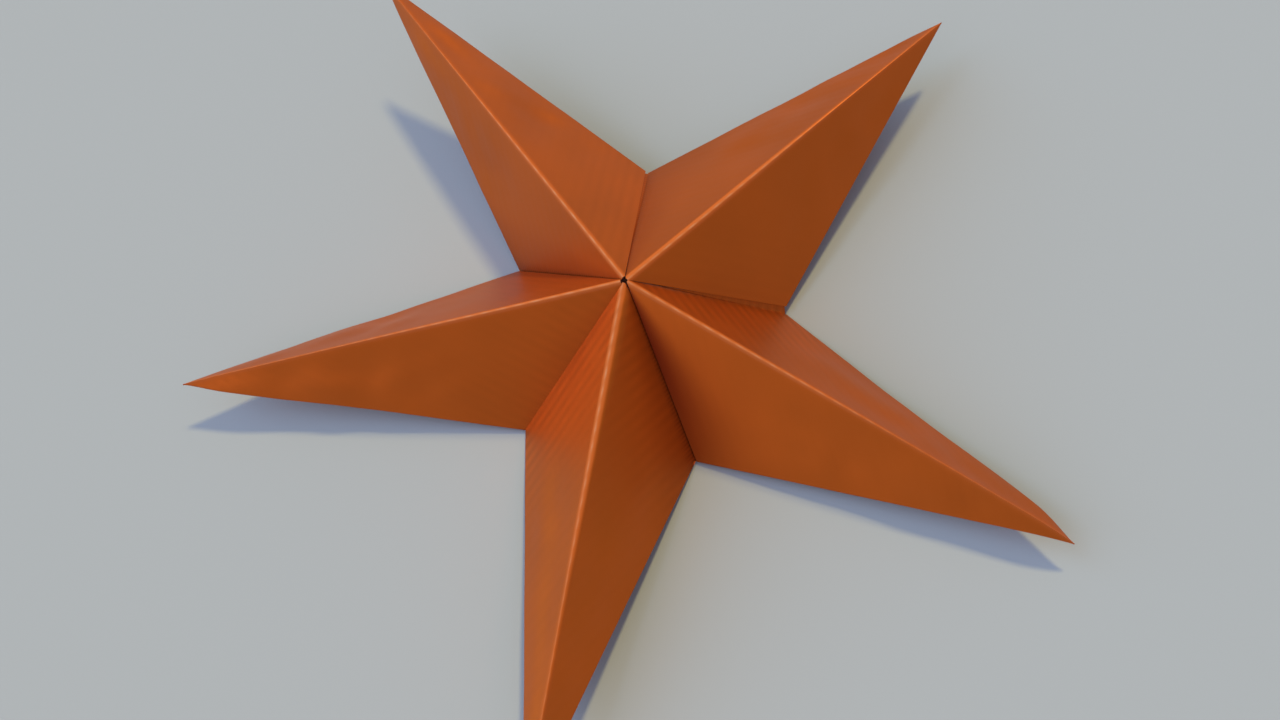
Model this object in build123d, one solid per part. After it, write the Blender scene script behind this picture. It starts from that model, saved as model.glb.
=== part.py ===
from build123d import *
import os
from math import atan2, cos, degrees, radians, sin, sqrt, tan

# A five-pointed paper star. Each arm is one square of paper, folded as a kite: a ridge along the square's
# diagonal, both outer edges folded back underneath to meet the ridge. Five arms stand around a peak, and
# each one is tucked by a narrow tab under the cut edge of its neighbour. Millimetres, +Z up, origin on the
# table straight below the peak.

square_side = 55.0       # side of each square of paper
paper_thickness = 0.15
peak_height = 21.6       # where the five ridges would meet, above the outer ends of the lowest valleys
seam_gap = 0.2           # each cut edge stops this far short of the valley it lies beside
layer_gap = 0.03         # air between a tucked tab and the layers above it
flap_gap = 0.25          # from the free edge of a back flap to the ridge fold

# The arms go clockwise seen from above. Each row tells of an arm and of the valley on its clockwise side.
arm_names = ("arm_top_left", "arm_top_right", "arm_right", "arm_bottom", "arm_left")
valley_azimuths = (94.0, 15.0, -58.0, -129.0, 157.5)    # degrees from +X
valley_lifts = (5.4, 0.0, 0.0, 0.2, 0.0)                # outer end of the valley above the table
ridge_to_valleys = (46.2, 46.5, 43.8, 44.9, 45.4)       # degrees from the arm's ridge to the valley
cut_angles = (45.0, 44.2, 43.8, 44.9, 45.0)             # degrees from the arm's ridge to its cut edge
tab_wedges = (2.4, 3.2, 1.6, 2.4, 2.0)                  # degrees of the next arm's corner tucked in there
edge_angles = (22.5, 22.5, 22.9, 22.5, 22.5)            # degrees from the ridge to the fold on the tab's side
corner_gaps = (0.65, 0.4, 0.4, 0.35, 0.8)               # from the arm's inner corner to the peak

half_corner = 45.0                  # the ridge halves the square's corner
kite_angle = half_corner / 2        # the kite fold halves it again
ridge_length = square_side * sqrt(2)
flap_start = ridge_length - square_side     # where a back flap's raw edge crosses the ridge
tuck_depth = 2 * paper_thickness + layer_gap
arm_count = len(arm_names)


def polar(length, angle):
    """Point of the flat sheet at an angle from the ridge, seen from the inner corner."""
    return Vector(length * cos(radians(angle)), length * sin(radians(angle)))


def edge_distance(angle, edge_angle):
    """From the inner corner to the kite's outer fold, at an angle from the ridge."""
    return ridge_length * sin(radians(edge_angle)) / sin(radians(edge_angle + angle))


def angle_between(first, second):
    return degrees(atan2(first.cross(second).length, first.dot(second)))


def valley_direction(i):
    """Unit vector from the peak down valley i, whose outer end stands at its lift above the table."""
    length = edge_distance(half_corner - tab_wedges[i], edge_angles[(i + 1) % arm_count])
    drop = peak_height - valley_lifts[i]
    reach = sqrt(length**2 - drop**2)
    azimuth = radians(valley_azimuths[i])
    return Vector(reach * cos(azimuth), reach * sin(azimuth), -drop) / length


def ridge_direction(first, second, first_angle, second_angle):
    """Unit vector above two valley directions, at a given angle from each."""
    between = first.dot(second)
    first_cos = cos(radians(first_angle))
    second_cos = cos(radians(second_angle))
    along_first = (first_cos - between * second_cos) / (1 - between**2)
    along_second = (second_cos - between * first_cos) / (1 - between**2)
    low = first * along_first + second * along_second
    return low + second.cross(first).normalized() * -sqrt(1 - low.dot(low))


def moved_inwards(outline, amounts):
    """Corners of a counter-clockwise outline after each side has moved inwards by its own amount."""
    count = len(outline)
    sides = [(outline[(k + 1) % count] - outline[k]).normalized() for k in range(count)]
    inward = [Vector(-side.Y, side.X) for side in sides]
    corners = []
    for k in range(count):
        before, after = inward[k - 1], inward[k]
        shared = before.dot(after)
        by_before = (amounts[k - 1] - shared * amounts[k]) / (1 - shared**2)
        by_after = (amounts[k] - shared * amounts[k - 1]) / (1 - shared**2)
        corners.append(outline[k] + before * by_before + after * by_after)
    return corners


def paper(plane, outline, slants, top, hand):
    """One flat layer of paper below a plane. A slant is how far a side moves inwards per unit of depth."""
    points = []
    for depth in (top, top + paper_thickness):
        for corner in moved_inwards(outline, [slant * depth for slant in slants]):
            points.append(plane.from_local_coords(Vector(corner.X, hand * corner.Y, -depth)))
    return ConvexPolyhedron(points)


def crossing(start, along, other_start, other_along):
    """Where two lines of the flat sheet cross."""
    apart = other_start - start
    turn = along.X * other_along.Y - along.Y * other_along.X
    return start + along * ((apart.X * other_along.Y - apart.Y * other_along.X) / turn)


def build_arm(i):
    """Arm i: two faces, two back flaps and the tab that goes under the arm before it."""
    peak = Vector(0, 0, peak_height)
    clockwise = valley_direction(i)
    other = valley_direction(i - 1)
    visible_angle = half_corner - tab_wedges[i - 1]
    ridge = ridge_direction(clockwise, other, ridge_to_valleys[i], visible_angle)
    cut_plane = Plane(peak, x_dir=ridge, z_dir=clockwise.cross(ridge))
    tab_plane = Plane(peak, x_dir=ridge, z_dir=ridge.cross(other))
    fold_angle = 180 - angle_between(cut_plane.z_dir, tab_plane.z_dir)
    ridge_slant = 1 / tan(radians(fold_angle / 2))

    # Lines of the flat sheet that both sides share.
    tip = Vector(ridge_length, 0)
    inner = Vector(corner_gaps[i], 0)
    across = Vector(0, 1)
    flap_inner = Vector(flap_start, flap_gap)

    # Side with the cut edge, which lies on top of the next arm.
    cut_edge = polar(1, 180 - kite_angle)
    cut_line = polar(1, cut_angles[i])
    cut_start = polar(seam_gap, cut_angles[i] - 90)
    cut_outer = crossing(cut_start, cut_line, tip, cut_edge)
    cut_flap_tip = crossing(flap_inner, Vector(1, 0), tip, cut_edge)
    cut_inner = crossing(cut_start, cut_line, inner, across)
    cut_flap = crossing(cut_start, cut_line, flap_inner, across)
    cut_face = paper(cut_plane, [inner, tip, cut_outer, cut_inner], [ridge_slant, 0, 0, 0], 0, -1)
    cut_back = paper(cut_plane, [flap_inner, cut_flap_tip, cut_outer, cut_flap], [ridge_slant, 0, 0, 0],
                     paper_thickness, -1)

    # Side with the tab, which bends at a crease and runs on below the arm before this one.
    before = valley_direction(i - 2)
    before_visible = half_corner - tab_wedges[i - 2]
    before_ridge = ridge_direction(other, before, ridge_to_valleys[i - 1], before_visible)
    roof = Plane(peak, x_dir=other, z_dir=other.cross(before_ridge))
    valley_angle = angle_between(roof.y_dir, tab_plane.z_dir.cross(other) * -1)
    crease_slant = -1 / tan(radians(valley_angle / 2))
    crease_shift = tuck_depth / sin(radians(valley_angle))
    crease_line = polar(1, visible_angle)
    crease_start = polar(crease_shift, visible_angle + 90)
    tab_edge = polar(1, 180 - edge_angles[i])
    tab_flap_tip = crossing(flap_inner, Vector(1, 0), tip, tab_edge)
    crease_outer = crossing(crease_start, crease_line, tip, tab_edge)
    crease_inner = crossing(crease_start, crease_line, Vector(0, 0), polar(1, half_corner))
    crease_flap = crossing(crease_start, crease_line, flap_inner, across)
    tab_inner = crossing(Vector(0, 0), polar(1, half_corner), inner, across)
    tab_corner = polar(edge_distance(half_corner, edge_angles[i]), half_corner)
    tab_face = paper(tab_plane, [inner, tip, crease_outer, crease_inner, tab_inner],
                     [ridge_slant, 0, crease_slant, 0, 0], 0, 1)
    tab_back = paper(tab_plane, [flap_inner, tab_flap_tip, crease_outer, crease_flap], [ridge_slant, 0, 0, 0],
                     paper_thickness, 1)

    # The tab keeps its flat shape, turned about the crease until it is level with the roof above it.
    crease_origin = tab_plane.from_local_coords(crease_start)
    tab_level = Plane(crease_origin, x_dir=other, z_dir=roof.z_dir)
    side_line = polar(1, visible_angle + 90)
    flat_tab = [crease_inner, crease_outer, tab_corner]
    tab_outline = [Vector(p.dot(crease_line), p.dot(side_line) - crease_shift) for p in flat_tab]
    tab = paper(tab_level, tab_outline, [crease_slant, 0, 0], 0, 1)
    return cut_face + cut_back + tab_face + tab_back + tab


arms = [build_arm(i) for i in range(arm_count)]
lowest = min(arm.bounding_box().min.Z for arm in arms)

os.makedirs("parts", exist_ok=True)
for name, arm in zip(arm_names, arms):
    standing = Pos(0, 0, -lowest) * arm
    export_step(standing, f"parts/{name}.step")
    box = standing.bounding_box()
    print(name, "solids", len(standing.solids()), "volume", round(standing.volume, 2), box.min, box.max)
print("raised by", round(-lowest, 3))
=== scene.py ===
# %% [markdown]
# # A star of folded copper paper
# The star has five arms, and each arm is one square of ribbed copper paper. This lesson folds the squares in
# Blender the way they are folded by hand: a flat grid is scored along its creases, and the paper beyond each
# crease is turned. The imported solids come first, because every arm has to lie where its solid lies.

# %% Load the solids
from math import atan2, cos, degrees, hypot, pi, radians, sin, sqrt

import bmesh
import bpy
from mathutils import Matrix, Vector


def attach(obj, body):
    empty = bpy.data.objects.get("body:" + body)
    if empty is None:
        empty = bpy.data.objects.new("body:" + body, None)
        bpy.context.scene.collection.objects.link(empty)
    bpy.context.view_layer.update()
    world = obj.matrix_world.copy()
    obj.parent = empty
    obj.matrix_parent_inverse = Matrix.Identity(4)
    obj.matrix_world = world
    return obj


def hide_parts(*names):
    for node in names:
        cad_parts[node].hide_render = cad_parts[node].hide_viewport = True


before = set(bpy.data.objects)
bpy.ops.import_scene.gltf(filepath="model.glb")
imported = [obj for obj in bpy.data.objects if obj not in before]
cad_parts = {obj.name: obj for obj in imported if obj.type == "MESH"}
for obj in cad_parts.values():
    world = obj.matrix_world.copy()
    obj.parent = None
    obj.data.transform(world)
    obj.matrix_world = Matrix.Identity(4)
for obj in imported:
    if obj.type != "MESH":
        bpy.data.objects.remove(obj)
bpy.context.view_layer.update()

# %% [markdown]
# ## The star's own numbers
# The sizes are those of the solids, in metres, and the angles are in degrees. The arms go clockwise seen from
# above. A valley lies between each arm and the next one, and its number is that of the arm before it. The
# valleys fix everything else: a ridge has to keep its angle on the paper to the valley on either side, so it
# can only stand in one place. No two arms that are folded by hand come out alike, so what differs between
# them is a row of five. Lengths in such a row are in millimetres.

# %% Sizes
millimetre = 0.001
square_side = 55 * millimetre
ridge_length = square_side * sqrt(2)
half_corner = 45
kite_angle = half_corner / 2
paper_thickness = 0.15 * millimetre
layer_gap = 0.03 * millimetre
tuck_depth = 2 * paper_thickness + layer_gap
seam_gap = 0.2 * millimetre
peak_height = 21.6 * millimetre
raised = 0.296 * millimetre

arm_names = ["arm_top_left", "arm_top_right", "arm_right", "arm_bottom", "arm_left"]
arm_count = len(arm_names)
valley_azimuths = [94.0, 15.0, -58.0, -129.0, 157.5]
valley_lifts = [5.4, 0.0, 0.0, 0.2, 0.0]
ridge_to_valleys = [46.2, 46.5, 43.8, 44.9, 45.4]
cut_angles = [45.0, 44.2, 43.8, 44.9, 45.0]
tab_wedges = [2.4, 3.2, 1.6, 2.4, 2.0]
edge_angles = [22.5, 22.5, 22.9, 22.5, 22.5]
corner_gaps = [0.65, 0.4, 0.4, 0.35, 0.8]
print("ridge length", round(ridge_length, 5))

# %% Where the valleys and ridges run
peak = Vector((0, 0, peak_height + raised))


def valley(i):
    """Unit vector from the peak down valley i."""
    edge_angle = edge_angles[(i + 1) % arm_count]
    seen_angle = half_corner - tab_wedges[i]
    length = ridge_length * sin(radians(edge_angle)) / sin(radians(edge_angle + seen_angle))
    drop = peak_height - valley_lifts[i] * millimetre
    reach = sqrt(length**2 - drop**2)
    azimuth = radians(valley_azimuths[i])
    return Vector((reach * cos(azimuth), reach * sin(azimuth), -drop)) / length


def ridge(i):
    """Unit vector from the peak along the ridge of arm i."""
    first, second = valley(i), valley(i - 1)
    first_cos = cos(radians(ridge_to_valleys[i]))
    second_cos = cos(radians(half_corner - tab_wedges[i - 1]))
    shared = first.dot(second)
    along_first = (first_cos - shared * second_cos) / (1 - shared**2)
    along_second = (second_cos - shared * first_cos) / (1 - shared**2)
    low = first * along_first + second * along_second
    return low + first.cross(second).normalized() * sqrt(1 - low.length_squared)


def face_normals(i):
    """Outward normals of the face with the cut edge and of the face with the tab."""
    return valley(i).cross(ridge(i)).normalized(), ridge(i).cross(valley(i - 1)).normalized()


for i, name in enumerate(arm_names):
    cut_normal, tab_normal = face_normals(i)
    print(name, "tip", (peak + ridge(i) * ridge_length).to_tuple(4),
          "ridge turns", round(degrees(cut_normal.angle(tab_normal)), 1))

# %% [markdown]
# ## Tools for folding
# A fold needs two things: a scored line and a turn. Bisect scores the line, because it cuts the faces it
# crosses and nothing else. A turn about a slanted line is awkward, so the whole sheet is first turned until
# the line lies along X, then the paper beyond it is turned about X, and the sheet is turned back. Once paper
# is folded over, its place no longer tells which side of a line it came from. The UV map does, because it
# keeps every point's place on the flat square, so points are chosen by it.

# %% Choose points
hair = 0.002 * millimetre


def only(piece):
    """Selects one piece and nothing else."""
    bpy.ops.object.select_all(action="DESELECT")
    piece.select_set(True)
    bpy.context.view_layer.objects.active = piece


def flat_place(u, v):
    """Place of a point while the square still lay flat, with the tip at the origin."""
    return Vector(((u + v) * square_side * sqrt(0.5) - ridge_length, (v - u) * square_side * sqrt(0.5)))


def choose(sheet, rule):
    """Selects points by a rule on their place on the flat square and their place now."""
    points = bmesh.from_edit_mesh(sheet.data)
    square = points.loops.layers.uv.active
    for point in points.verts:
        point.select_set(rule(flat_place(*point.link_loops[0][square].uv), point.co))
    points.select_flush_mode()
    bmesh.update_edit_mesh(sheet.data)


def everything(flat, here):
    return True


print("inner corner", flat_place(0, 0).to_tuple(4), "tip", flat_place(1, 1).to_tuple(4))


# %% Score and fold
def turn(axis, angle, centre):
    """Turns the selected points, counter-clockwise seen from the tip of the axis."""
    bpy.ops.transform.rotate(value=-radians(angle), orient_axis=axis, center_override=centre)


def score(sheet, point, heading, rule, remove=None):
    """Scores a line across the chosen paper; remove takes away what lies on its left or right."""
    choose(sheet, rule)
    to_the_left = (-sin(radians(heading)), cos(radians(heading)), 0)
    bpy.ops.mesh.bisect(plane_co=point, plane_no=to_the_left, threshold=1e-7,
                        clear_outer=remove == "left", clear_inner=remove == "right")
    bpy.ops.mesh.select_all(action="SELECT")
    bpy.ops.mesh.delete_loose()


def fold(sheet, point, heading, beyond, angle):
    """Turns the paper beyond a scored line by an angle about that line."""
    choose(sheet, everything)
    turn("Z", -heading, point)
    choose(sheet, beyond)
    turn("X", angle, point)
    choose(sheet, everything)
    turn("Z", heading, point)


# %% [markdown]
# ## One square, trimmed
# The sheet is a grid laid with its tip corner at the origin and its ridge along X, so that the inner corner
# lies on the left. Its edges lose a little, as they do when a square is cut and folded by hand: the inner
# corner stops short of the peak, and the cut edge stops short of the valley. The outer edges end up below the
# ridge, as the edges of the flaps, and a rounded ridge leaves them less room than a sharp one, so they are cut
# in by a small angle. The tip is cut across before that. Bisect takes away every point beyond its line, and
# without that cut, trimming one side would take the tip point away from the other.

# %% Make a trimmed square
grid_cells = 36
outer_trim = 0.3 * millimetre
flap_relief = 1.5


def trimmed_square(i, spreads):
    """Adds the flat square of arm i; the spreads tell how wide its ridge is rounded on either side."""
    bpy.ops.object.select_all(action="DESELECT")
    bpy.ops.mesh.primitive_grid_add(x_subdivisions=grid_cells, y_subdivisions=grid_cells, size=square_side)
    sheet = bpy.context.object
    sheet.name = "paper_" + arm_names[i]
    bpy.ops.object.mode_set(mode="EDIT")
    turn("Z", -half_corner, (0, 0, 0))
    bpy.ops.transform.translate(value=(-ridge_length / 2, 0, 0))
    inner = -ridge_length + corner_gaps[i] * millimetre
    score(sheet, (inner, 0, 0), 90, everything, remove="left")
    cut_angle = cut_angles[i]
    set_back = Vector((sin(radians(cut_angle)), cos(radians(cut_angle)), 0)) * seam_gap
    score(sheet, (-ridge_length, 0, 0), 0, everything)
    score(sheet, Vector((-ridge_length, 0, 0)) + set_back, -cut_angle, lambda flat, here: flat.y < hair,
          remove="right")
    score(sheet, (-outer_trim, 0, 0), 90, everything, remove="right")
    for side, spread in zip((1, -1), spreads):
        score(sheet, (-outer_trim, 0, 0), 180 - side * (half_corner - flap_relief * spread),
              lambda flat, here: side * flat.y > -hair, remove="right" if side > 0 else "left")
    return sheet


# %% [markdown]
# ## Folding an arm
# The order is that of the folder's hands: the two outer edges go back under the sheet, the tab is creased,
# and the ridge comes last. An edge folded flat isn't sharp, since the paper has to go round its own
# thickness, so four lines close together turn it by 45 degrees each. The ridge is a soft fold that is wider
# near the peak, so its lines fan out from the tip, and each turns the paper a little. Fingers press one side
# of a ridge harder than the other, so each side has a radius of its own.

# %% Fold the outer edges
hairpin_lines = 4
hairpin_step = 0.132 * millimetre
hairpin_start = -(hairpin_lines - 1) / 2 * hairpin_step
hairpin_guard = 3 * hairpin_step


def past_line(flat, side, angle):
    """How far a place on the flat square lies past a line that leaves the tip at an angle from the ridge."""
    return flat.x * sin(radians(angle)) + side * flat.y * cos(radians(angle))


def past_edge(flat, side, angle, line):
    """Whether a place on the flat square lies beyond a line beside one outer fold."""
    return past_line(flat, side, angle) > line + hair and side * flat.y > hair


def fold_outer_edge(sheet, side, angle):
    """Folds one outer edge of the square back underneath."""
    def start(line):
        return line * sin(radians(angle)), side * line * cos(radians(angle)), 0

    lines = [hairpin_start + k * hairpin_step for k in range(hairpin_lines)]
    for line in [-hairpin_guard] + lines + [hairpin_guard]:
        score(sheet, start(line), -side * angle, lambda flat, here: side * flat.y > -hair)
    for line in reversed(lines):
        fold(sheet, start(line), -side * angle, lambda flat, here: past_edge(flat, side, angle, line),
             -side * 180 / hairpin_lines)


# %% Fold the tab
crease_guard = 0.25 * millimetre


def tab_crease(i):
    """Heading of the tab's crease, a point on it, the way across it, and the angle the fold leaves open."""
    cut_normal, tab_normal = face_normals(i - 1)[0], face_normals(i)[1]
    opening = 180 - degrees(cut_normal.angle(tab_normal))
    heading = half_corner - tab_wedges[i - 1]
    to_the_left = Vector((-sin(radians(heading)), cos(radians(heading)), 0))
    start = Vector((-ridge_length, 0, 0)) + to_the_left * tuck_depth / sin(radians(opening))
    return heading, start, to_the_left, opening


def fold_tab(sheet, i):
    """Creases the tab, which is a single layer, so that it lies level with the arm before it."""
    heading, start, to_the_left, opening = tab_crease(i)

    def underneath(flat, here):
        return past_edge(flat, 1, edge_angles[i], hairpin_start - 2 * hair)

    def on_tab(flat, here):
        return (flat.to_3d() - start).dot(to_the_left) > hair and not underneath(flat, here)

    score(sheet, start, heading, underneath, remove="left")
    for beside in (-crease_guard, 0):
        score(sheet, start + to_the_left * beside, heading, lambda flat, here: flat.y > -hair)
    fold(sheet, start, heading, on_tab, 180 - opening)


for i, name in enumerate(arm_names):
    print(name, "tab left open by", round(tab_crease(i)[3], 1), "degrees")

# %% Fold the ridge
tab_side_radii = [0.35, 1.2, 0.4, 1.8, 0.35]
cut_side_radii = [0.35, 0.4, 0.4, 0.3, 0.35]
ridge_lines = 4


def fan_angles(spread):
    """Angles from the ridge at which one side's lines leave the tip."""
    return [spread * (k + 0.5) / ridge_lines for k in range(ridge_lines)]


def score_ridge(sheet, spreads):
    """Scores the ridge's lines, and one beside them where the flat of the face begins."""
    for side, spread in zip((1, -1), spreads):
        face_begins = 1.3 * spread + 0.1
        for angle in fan_angles(spread) + [face_begins]:
            score(sheet, (0, 0, 0), -side * angle, lambda flat, here: side * flat.y > -hair)


def fold_ridge(sheet, total, spreads):
    """Folds the ridge by a total angle, over lines that fan out from the tip up to the spread on each side."""
    for side, spread in zip((1, -1), spreads):
        for angle in reversed(fan_angles(spread)):
            fold(sheet, (0, 0, 0), -side * angle, lambda flat, here: past_line(flat, side, angle) > hair / 4,
                 -side * total / 2 / ridge_lines)


# %% [markdown]
# ## Paper that has been handled
# Folded paper is never quite flat. The ridge arches a little between its ends, the loose outer half of each
# face has soft dents, the tips curl down, and here and there an outer edge bulges. A Displace modifier makes
# each of these, with a vertex group to say how much of it a point takes: nothing near the valleys, where the
# arms hold one another. The shares below count along the arm from 0 at the tip to 1 at the peak, and outwards
# from 0 at the ridge to 1 at the outer fold.

# %% Move paper a little
dents = bpy.data.textures.new("dents", "CLOUDS")
dents.noise_scale = 10 * millimetre
dents.noise_depth = 1


def displace(sheet, name, weight, strength, direction="Z", texture=None):
    """Moves points along one of the arm's own directions: X from peak to tip, Y to the tab's side, Z up."""
    group = sheet.vertex_groups.new(name=name)
    for point in sheet.data.vertices:
        along = -point.co.x / ridge_length
        out = atan2(hypot(point.co.y, point.co.z), -point.co.x) / radians(kite_angle)
        group.add([point.index], weight(along, min(1, out), point.co.y), "REPLACE")
    lift = sheet.modifiers.new(name, "DISPLACE")
    lift.vertex_group = name
    lift.direction = direction
    lift.space = "LOCAL"
    lift.strength = strength
    lift.mid_level = 0.5 if texture else 0
    lift.texture = texture
    lift.texture_coords = "GLOBAL"
    bpy.ops.object.modifier_apply(modifier=lift.name)
    sheet.vertex_groups.clear()


print("dents", dents.noise_scale, "wide")


# %% How much each point moves
def ease(value, low, high):
    """Climbs smoothly from 0 at low to 1 at high."""
    share = min(1, max(0, (value - low) / (high - low)))
    return share * share * (3 - 2 * share)


def bow(along, out, aside):
    """The arch of the ridge, weaker towards the outer folds."""
    return sin(pi * ease(along, 0.0, 0.9)) * (1 - 0.7 * out)


def slack(along, out, aside):
    """Where the faces are loose: on the outer half of the arm, off its ridge and off its stiff outer folds."""
    loose = ease(along, 0.04, 0.2) * (1 - ease(along, 0.5, 0.7))
    return loose * ease(out, 0.05, 0.5) * (1 - 0.7 * ease(out, 0.6, 1))


def curl(along, out, aside):
    """The last stretch before the tip."""
    return max(0, 1 - along / 0.12) ** 2


def bulge(along, out, aside):
    """The outer fold on the tab's side, near the tip."""
    near_tip = ease(along, 0, 0.1) * (1 - ease(along, 0.12, 0.42))
    return ease(aside, 0, millimetre) * ease(out, 0.1, 1) * near_tip


print("the ridge arches most at", max(range(101), key=lambda share: bow(share / 100, 0, 0)) / 100)

# %% [markdown]
# ## Notes for the finish
# The ribs get painted shading, stripes of light and shade painted into the colour, stronger on some faces than
# on others, and the painted shade in some valleys is darker than in others. A material can't tell one face from
# another, but it can read an attribute, so each point gets two notes while it is still known which square it
# belongs to: how strong its painted rib shading is, and how dark the painted shade of the valley beside it is.
# On the cut side the painted shade fades outwards, because the valley opens there.

# %% Mark the paper
# The rib lists set how strong the painted rib shading is, the shade lists how dark the painted valley shade is.
tab_side_ribs = [0.1, 0.1, 1.4, 0.8, 0.4]
cut_side_ribs = [0.4, 0.15, 0.2, 1.5, 0.4]
strip_ribs = [0.2, 0.5, 0.25, 0.2, 0.2]
tab_side_shades = [0.85, 0.5, 0.25, 0.85, 0.3]
cut_side_shades = [0.05, 0.2, 2.4, 0.5, 0.2]
fade_begins, fade_ends, fade_depth = 0.1, 0.42, 0.7


def mark_paper(sheet, i):
    """Notes on every point how strong the painted rib shading is and how dark the painted valley shade beside
    it is.
    """
    start, to_the_left = tab_crease(i)[1:3]
    rib_shades = sheet.data.attributes.new("rib_shading", "FLOAT", "POINT")
    shades = sheet.data.attributes.new("valley_shade", "FLOAT", "POINT")
    square = sheet.data.uv_layers.active.data
    for corner in sheet.data.loops:
        flat = flat_place(*square[corner.index].uv)
        rib_shade = tab_side_ribs[i] if flat.y > 0 else cut_side_ribs[i]
        if (flat.to_3d() - start).dot(to_the_left) > hair:
            rib_shade = strip_ribs[i]
        outwards = ease(1 + flat.x / ridge_length, fade_begins, fade_ends)
        shade = tab_side_shades[i] if flat.y > 0 else cut_side_shades[i] * (1 - fade_depth * outwards)
        rib_shades.data[corner.vertex_index].value = rib_shade
        shades.data[corner.vertex_index].value = shade


# %% [markdown]
# ## Five arms
# Each square is folded flat on the origin, where its creases are easy to name, and then carried to its place:
# the tip goes where the solid's tip is, and the ridge points at the peak. A rounded ridge is lower than a sharp
# one, so its inner end aims below the peak by the height that the rounding takes away.

# %% Fold all five arms
blunt_tip = 0.6 * millimetre
bow_height = 0.3 * millimetre
dent_depth = 2.1 * millimetre
tip_curls = [0.3, 0.3, 1.5, 0.3, 0.3]
edge_bulges = [0.1, 0.1, 0.7, 0.1, 0.4]


def arm_place(i, half, radii):
    """Matrix that carries an arm from the origin to its place on the star."""
    cut_normal, tab_normal = face_normals(i)
    tab_round, cut_round = (radius * (1 - cos(half)) for radius in radii)
    crown = (tab_round + cut_round) / 2 / cos(half)
    aside = (tab_round - cut_round) / 2 / sin(half)
    upward = (cut_normal + tab_normal).normalized()
    tip = peak + ridge(i) * ridge_length
    along = (tip - (peak - upward * crown - upward.cross(ridge(i)) * aside)).normalized()
    upward = (upward - along * along.dot(upward)).normalized()
    turned = Matrix((along, upward.cross(along), upward)).transposed().to_4x4()
    return Matrix.Translation(tip) @ turned


def folded_arm(i):
    """Folds arm i, handles its paper a little and sets it in its place."""
    cut_normal, tab_normal = face_normals(i)
    total = degrees(cut_normal.angle(tab_normal))
    half = radians(total / 2)
    radii = tab_side_radii[i] * millimetre, cut_side_radii[i] * millimetre
    spreads = [degrees(radius * half / ridge_length) for radius in radii]
    sheet = trimmed_square(i, spreads)
    score_ridge(sheet, spreads)
    fold_outer_edge(sheet, 1, edge_angles[i])
    fold_outer_edge(sheet, -1, kite_angle)
    score(sheet, (-blunt_tip, 0, 0), 90, everything, remove="right")
    fold_tab(sheet, i)
    fold_ridge(sheet, total, spreads)
    bpy.ops.object.mode_set(mode="OBJECT")
    mark_paper(sheet, i)
    sheet.matrix_world = arm_place(i, half, radii)
    only(sheet)
    displace(sheet, "bow", bow, bow_height)
    displace(sheet, "dents", slack, dent_depth, texture=dents)
    displace(sheet, "curl", curl, -tip_curls[i] * millimetre)
    displace(sheet, "bulge", bulge, edge_bulges[i] * millimetre, direction="Y")
    bpy.ops.object.transform_apply(location=True, rotation=True, scale=True)
    return sheet


arms = [folded_arm(i) for i in range(arm_count)]
for sheet in arms:
    print(sheet.name, len(sheet.data.vertices), "points")

# %% [markdown]
# ## Paper thickness
# Up to here the arms have no thickness. Solidify gives the paper its own, below the outer side, and marks the
# inner side as another material, because only one side of the paper is copper. Smooth shading rounds the
# gentle turns at the folds and keeps the paper's edges sharp.

# %% Thicken the paper
sharp_angle = 50

for i, sheet in enumerate(arms):
    only(sheet)
    layer = sheet.modifiers.new("paper thickness", "SOLIDIFY")
    layer.thickness = paper_thickness
    layer.offset = -1
    layer.use_quality_normals = True
    layer.material_offset = 1
    layer.material_offset_rim = 0
    bpy.ops.object.modifier_apply(modifier=layer.name)
    bpy.ops.object.shade_smooth_by_angle(angle=radians(sharp_angle))
    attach(sheet, "root")
    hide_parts(arm_names[i])
    print(sheet.name, len(sheet.data.polygons), "faces, lowest", min(p.co.z for p in sheet.data.vertices))

# %% [markdown]
# ## What both sides of the paper share
# Four effects belong to the paper and not to one of its sides, so each is a node group that the copper side
# and the back use with values of their own. The paper is ribbed: fine ribs run along one side of the square,
# their bump deeper in some places than in others, and near the valleys they get painted shading, stripes of
# light and shade painted into the colour. Along the crease of its diagonal a pale line on the ribs' tops is
# partly wear and partly painted highlight, and a wider band has lost its shine. The valleys get painted shade,
# with small painted shadow ticks where the ribs end. And it is slightly mottled. All but the mottle follow the
# UV map, so they turn with every fold.

# %% Node helpers
def new_group(name, inputs, outputs):
    group = bpy.data.node_groups.new(name, "ShaderNodeTree")
    for socket, value in inputs.items():
        group.interface.new_socket(socket, in_out="INPUT", socket_type="NodeSocketFloat").default_value = value
    for socket in outputs:
        group.interface.new_socket(socket, in_out="OUTPUT", socket_type="NodeSocketFloat")
    return group, group.nodes.new("NodeGroupInput"), group.nodes.new("NodeGroupOutput")


def calculate(tree, operation, *values):
    """Adds a Math node; a value may be a number or another node's output."""
    node = tree.nodes.new("ShaderNodeMath")
    node.operation = operation
    for socket, value in zip(node.inputs, values):
        if isinstance(value, (int, float)):
            socket.default_value = value
        else:
            tree.links.new(value, socket)
    return node.outputs[0]


def noise(tree, coordinates, scale, detail):
    node = tree.nodes.new("ShaderNodeTexNoise")
    node.inputs["Scale"].default_value = scale
    node.inputs["Detail"].default_value = detail
    tree.links.new(coordinates, node.inputs["Vector"])
    return node.outputs["Fac"]


def between(tree, value, source, target):
    """Carries a value smoothly from one range over to another."""
    node = tree.nodes.new("ShaderNodeMapRange")
    node.interpolation_type = "SMOOTHSTEP"
    for socket, number in zip(("From Min", "From Max", "To Min", "To Max"), source + target):
        node.inputs[socket].default_value = number
    tree.links.new(value, node.inputs["Value"])
    return node.outputs["Result"]


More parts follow.
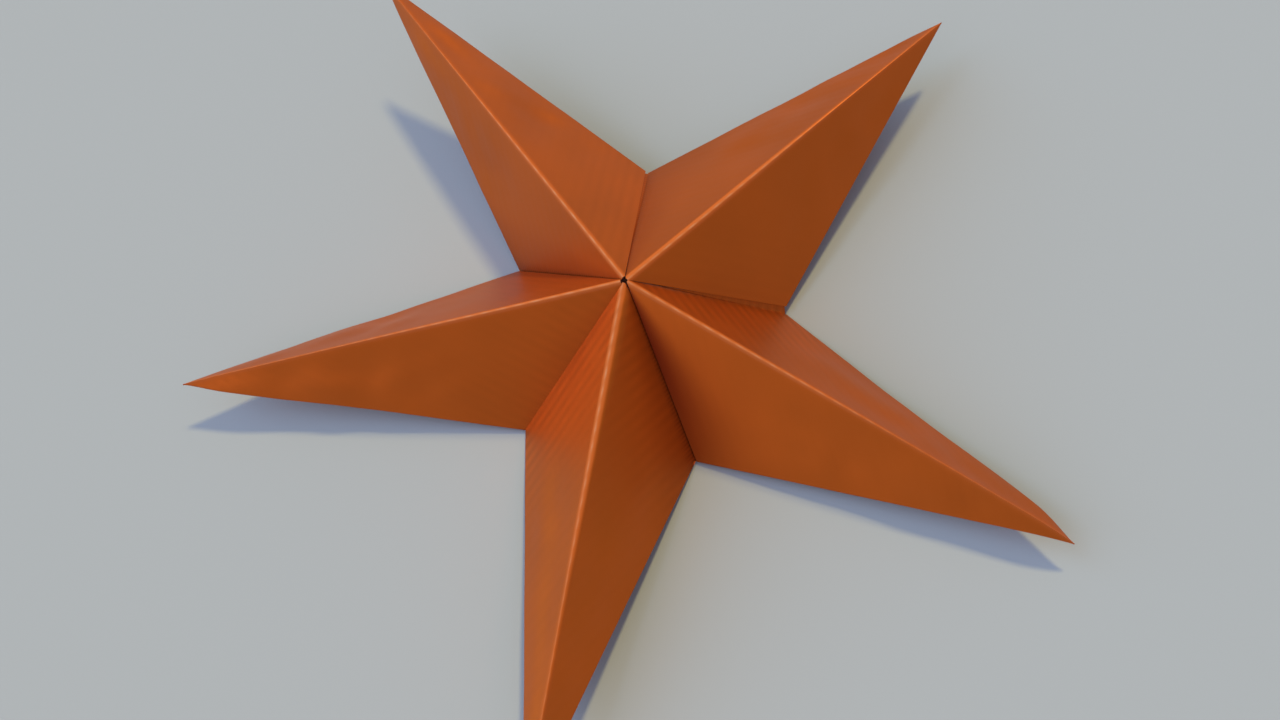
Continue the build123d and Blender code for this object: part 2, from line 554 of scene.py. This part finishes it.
# %% Helpers that read the paper
def flat_uv(tree):
    """Place on the flat square and its two parts: u is 0 along the tab's edge, v along the cut edge."""
    place = tree.nodes.new("ShaderNodeUVMap").outputs["UV"]
    parts = tree.nodes.new("ShaderNodeSeparateXYZ")
    tree.links.new(place, parts.inputs[0])
    return place, parts.outputs["X"], parts.outputs["Y"]


def note(tree, name):
    """Reads one of the notes that were made on the paper's points."""
    node = tree.nodes.new("ShaderNodeAttribute")
    node.attribute_name = name
    return node.outputs["Fac"]


def rib_wave(tree, v, count):
    """Swings between -1 and 1, once for each rib."""
    phase = calculate(tree, "MULTIPLY", v, count)
    return calculate(tree, "SINE", calculate(tree, "MULTIPLY", phase, 2 * pi))


# %% Rib group
ribs, ribs_in, ribs_out = new_group("paper_ribs", {"Ribs": 28.0}, ["Height", "Shade"])
place, u, v = flat_uv(ribs)
wave = rib_wave(ribs, v, ribs_in.outputs["Ribs"])
pressed = calculate(ribs, "ADD", noise(ribs, place, 9, 2), 0.5)
ribs.links.new(calculate(ribs, "MULTIPLY", wave, pressed), ribs_out.inputs["Height"])
# Shade is painted shading: light and shade of the ribs painted into the colour, near the valleys only.
near_valley = between(ribs, calculate(ribs, "MINIMUM", u, v), (0.0, 0.32), (1.0, 0.1))
patches = between(ribs, noise(ribs, place, 14, 2), (0.35, 0.65), (0.35, 1.35))
faint = calculate(ribs, "MULTIPLY", calculate(ribs, "MULTIPLY", wave, near_valley), patches)
ribs.links.new(calculate(ribs, "MULTIPLY", faint, note(ribs, "rib_shading")), ribs_out.inputs["Shade"])
print("group", ribs.name, len(ribs.nodes), "nodes")

# %% Crease wear and highlight group
wear_and_highlight, crease_in, crease_out = new_group("crease_wear_and_highlight", {"Width": 0.006, "Ribs": 28.0}, ["Wear", "Dull"])
place, u, v = flat_uv(wear_and_highlight)
from_crease = calculate(wear_and_highlight, "ABSOLUTE", calculate(wear_and_highlight, "SUBTRACT", u, v))
share = calculate(wear_and_highlight, "MINIMUM", calculate(wear_and_highlight, "DIVIDE", from_crease, crease_in.outputs["Width"]), 1)
near = calculate(wear_and_highlight, "SUBTRACT", 1, share)
# Wear is a pale line along the crease on the ribs' tops: partly wear, partly painted highlight.
tops = calculate(wear_and_highlight, "MULTIPLY_ADD", rib_wave(wear_and_highlight, v, crease_in.outputs["Ribs"]), 0.35, 0.65)
outwards = calculate(wear_and_highlight, "ADD", u, v)
patchy = calculate(wear_and_highlight, "MULTIPLY", noise(wear_and_highlight, place, 30, 3), between(wear_and_highlight, outwards, (0.3, 1.5), (1.2, 0.3)))
worn_and_highlit = calculate(wear_and_highlight, "MULTIPLY", calculate(wear_and_highlight, "MULTIPLY", near, tops), patchy)
wear_and_highlight.links.new(worn_and_highlit, crease_out.inputs["Wear"])
band = between(wear_and_highlight, from_crease, (0.005, 0.024), (1.0, 0.0))
dull = calculate(wear_and_highlight, "MULTIPLY", band, between(wear_and_highlight, outwards, (0.4, 1.4), (1.0, 0.35)))
wear_and_highlight.links.new(dull, crease_out.inputs["Dull"])
print("group", wear_and_highlight.name, len(wear_and_highlight.nodes), "nodes")

# %% Painted valley shade group
# Painted shade: a haze that darkens towards each valley, and painted shadow in small ticks beside each seam.
painted_valley_shade, shade_in, shade_out = new_group("painted_valley_shade", {"Ribs": 84.0}, ["Dust"])
place, u, v = flat_uv(painted_valley_shade)
ticks = calculate(painted_valley_shade, "MULTIPLY_ADD", rib_wave(painted_valley_shade, v, shade_in.outputs["Ribs"]), 0.12, 0.25)
beside_tab = between(painted_valley_shade, calculate(painted_valley_shade, "DIVIDE", u, v), (0.035, 0.11), (1.0, 0.0))
seam = calculate(painted_valley_shade, "MULTIPLY", ticks, beside_tab)
lesser = calculate(painted_valley_shade, "MINIMUM", u, v)
greater = calculate(painted_valley_shade, "MAXIMUM", u, v)
haze = between(painted_valley_shade, calculate(painted_valley_shade, "DIVIDE", lesser, greater), (0.0, 0.45), (0.38, 0.0))
dark = calculate(painted_valley_shade, "ADD", seam, haze)
painted_shade = calculate(painted_valley_shade, "MULTIPLY", dark, note(painted_valley_shade, "valley_shade"))
painted_valley_shade.links.new(painted_shade, shade_out.inputs["Dust"])
print("group", painted_valley_shade.name, len(painted_valley_shade.nodes), "nodes")

# %% Mottle group
mottle, mottle_in, mottle_out = new_group("paper_mottle", {"Scale": 60.0, "Fibre": 2500.0}, ["Cloudy", "Fibre"])
place = mottle.nodes.new("ShaderNodeTexCoord").outputs["Object"]
for size, detail, out in (("Scale", 5, "Cloudy"), ("Fibre", 2, "Fibre")):
    value = noise(mottle, place, 1, detail)
    mottle.links.new(mottle_in.outputs[size], value.node.inputs["Scale"])
    mottle.links.new(value, mottle_out.inputs[out])
print("group", mottle.name, len(mottle.nodes), "nodes")

# %% [markdown]
# ## Two finishes
# The copper side is a metallic pigment printed on the paper, fairly rough and with hardly any film on it. It
# could be a plain orange, but then the faces wouldn't change with the light as the real ones do, so most of
# it is metal. Along the ridge the pigment is rubbed dull, and its pale colour there is partly wear and partly
# a painted highlight. In the valleys the colour turns to a dark red brown, which is painted shade, tinted like
# copper that mirrors copper. The back was never coated, so it is plain brown and dull. Both get their ribs and
# fibres through Bump, since these are only hundredths of a millimetre high, and painted rib shading as well.

# %% Helpers for the finishes
def place_group(tree, group, **values):
    """Places a node group in a material, with values of the material's own."""
    node = tree.nodes.new("ShaderNodeGroup")
    node.node_tree = group
    for socket, value in values.items():
        node.inputs[socket].default_value = value
    return node.outputs


def blend(tree, amount, first, second):
    """Adds a Mix node; a colour may be three numbers or another node's output."""
    node = tree.nodes.new("ShaderNodeMix")
    node.data_type = "RGBA"
    tree.links.new(amount, node.inputs[0])
    for socket, colour in zip(node.inputs[6:8], (first, second)):
        if isinstance(colour, tuple):
            socket.default_value = (*colour, 1)
        else:
            tree.links.new(colour, socket)
    return node.outputs[2]


def bump(tree, height, strength, distance, normal=None):
    node = tree.nodes.new("ShaderNodeBump")
    node.inputs["Strength"].default_value = strength
    node.inputs["Distance"].default_value = distance
    tree.links.new(height, node.inputs["Height"])
    if normal is not None:
        tree.links.new(normal, node.inputs["Normal"])
    return node.outputs["Normal"]


# %% Ribbed paper
rib_pitch = 1.95 * millimetre
rib_count = square_side / rib_pitch
ticks_per_rib = 3
fibre_height = 0.01 * millimetre
worn_metal = 0.15


def ribbed_paper(name, dark, light, worn_and_highlit, painted_shade_colour, roughness, rib_height, metallic=0, film=0):
    """Paper with ribs, painted rib shading, a pale crease line of wear and painted highlight, painted valley
    shade and mottle; what is metallic or filmed loses that along the ridge.
    """
    material = bpy.data.materials.new(name)
    material.use_nodes = True
    tree = material.node_tree
    shader = tree.nodes["Principled BSDF"].inputs
    cloudy = place_group(tree, mottle)
    crease = place_group(tree, wear_and_highlight, Ribs=rib_count)
    ribbing = place_group(tree, ribs, Ribs=rib_count)
    shaded_valleys = place_group(tree, painted_valley_shade, Ribs=ticks_per_rib * rib_count)

    # The ribs' Shade is painted light and shade, mixed into the tone along with the random mottle.
    ribbed_tone = calculate(tree, "MULTIPLY_ADD", ribbing["Shade"], 0.24, 0.1)
    cloudy_tone = calculate(tree, "MULTIPLY", cloudy["Cloudy"], 0.8)
    tone = blend(tree, calculate(tree, "ADD", ribbed_tone, cloudy_tone), dark, light)
    # Painted shade in the valleys, in a dark red brown.
    deep = blend(tree, shaded_valleys["Dust"], tone, painted_shade_colour)
    # The pale crease line is partly wear and partly a painted highlight.
    tree.links.new(blend(tree, crease["Wear"], deep, worn_and_highlit), shader["Base Color"])

    even = between(tree, cloudy["Cloudy"], (0.0, 1.0), roughness)
    tree.links.new(calculate(tree, "MULTIPLY_ADD", crease["Dull"], 0.35, even), shader["Roughness"])
    if metallic:
        metal = between(tree, crease["Dull"], (0.0, 1.0), (metallic, worn_metal))
        tree.links.new(metal, shader["Metallic"])
        tree.links.new(between(tree, crease["Dull"], (0.0, 1.0), (film, 0.0)), shader["Coat Weight"])

    fibres = bump(tree, cloudy["Fibre"], 0.25, fibre_height)
    tree.links.new(bump(tree, ribbing["Height"], 0.5, rib_height, fibres), shader["Normal"])
    return material


# %% Copper side and back
# Each side's shade colour is painted shade in the valleys; its pale crease colour is partly wear, partly
# painted highlight.
copper_side = ribbed_paper("copper_side", dark=(0.545, 0.111, 0.0105), light=(0.715, 0.1455, 0.0138),
                           worn_and_highlit=(0.64, 0.29, 0.15), painted_shade_colour=(0.20, 0.017, 0.003), roughness=(0.40, 0.50),
                           rib_height=0.007 * millimetre, metallic=0.86, film=0.03)
copper_side.node_tree.nodes["Principled BSDF"].inputs["Coat Roughness"].default_value = 0.18
back_side = ribbed_paper("paper_back", dark=(0.25, 0.10, 0.04), light=(0.33, 0.14, 0.06),
                         worn_and_highlit=(0.42, 0.22, 0.11), painted_shade_colour=(0.09, 0.035, 0.014), roughness=(0.75, 0.9),
                         rib_height=0.02 * millimetre)
for sheet in arms:
    sheet.data.materials.clear()
    sheet.data.materials.append(copper_side)
    sheet.data.materials.append(back_side)
print("materials", [m.name for m in bpy.data.materials])

# %% [markdown]
# ## Table, light and camera
# A plain pale table takes the star's shadow. Sun lamps light a table evenly however large it is, and a wide
# angle makes one as soft as a window: a warm lamp beyond the star gives the crisp shadows, a cool window on
# the left softens them, a weaker window stands at the front left corner, and a plain pale room fills in the
# rest. The camera looks down at the star from the front and a little from the right.

# %% Table
bpy.ops.object.select_all(action="DESELECT")
bpy.ops.mesh.primitive_plane_add(size=60)
table = bpy.context.object
table.name = "table"
table_finish = bpy.data.materials.new("pale_table")
table_finish.use_nodes = True
table_shader = table_finish.node_tree.nodes["Principled BSDF"].inputs
table_shader["Base Color"].default_value = (0.43, 0.445, 0.495, 1)
table_shader["Roughness"].default_value = 0.9
table_shader["Specular IOR Level"].default_value = 0.1
table.data.materials.append(table_finish)
print("table", table.dimensions.to_tuple(1))


# %% Lights
def soft_sun(name, azimuth, elevation, width, strength, colour):
    """Adds a sun lamp that shines from an azimuth and elevation and looks as wide as an angle."""
    lamp = bpy.data.lights.new(name, "SUN")
    lamp.angle = radians(width)
    lamp.energy = strength
    lamp.color = colour
    holder = bpy.data.objects.new(name, lamp)
    bpy.context.scene.collection.objects.link(holder)
    holder.rotation_euler = (0, radians(90 - elevation), radians(azimuth))
    print("light", name, "from", azimuth, "degrees,", elevation, "up")


soft_sun("lamp", azimuth=81, elevation=50, width=6, strength=1.75, colour=(1.0, 0.84, 0.32))
soft_sun("window", azimuth=180, elevation=35, width=50, strength=1.9, colour=(0.46, 0.75, 1.0))
soft_sun("corner_window", azimuth=-135, elevation=35, width=50, strength=0.65, colour=(0.82, 0.70, 0.82))
world = bpy.data.worlds.new("room")
bpy.context.scene.world = world
world.use_nodes = True
room = world.node_tree.nodes["Background"]
room.inputs["Color"].default_value = (0.325, 0.33, 0.37, 1)
room.inputs["Strength"].default_value = 1.0

# %% Camera
camera = bpy.data.cameras.new("camera")
camera.sensor_width = 36
camera.lens = 29.59
camera.clip_start = 0.01
viewer = bpy.data.objects.new("camera", camera)
bpy.context.scene.collection.objects.link(viewer)
viewer.location = (0.02559, -0.06514, 0.16372)
viewer.rotation_euler = (radians(21.269), radians(4.969), radians(9.41))
bpy.context.scene.camera = viewer
bpy.context.scene.view_settings.view_transform = "Standard"
print("camera", viewer.location.to_tuple(4))
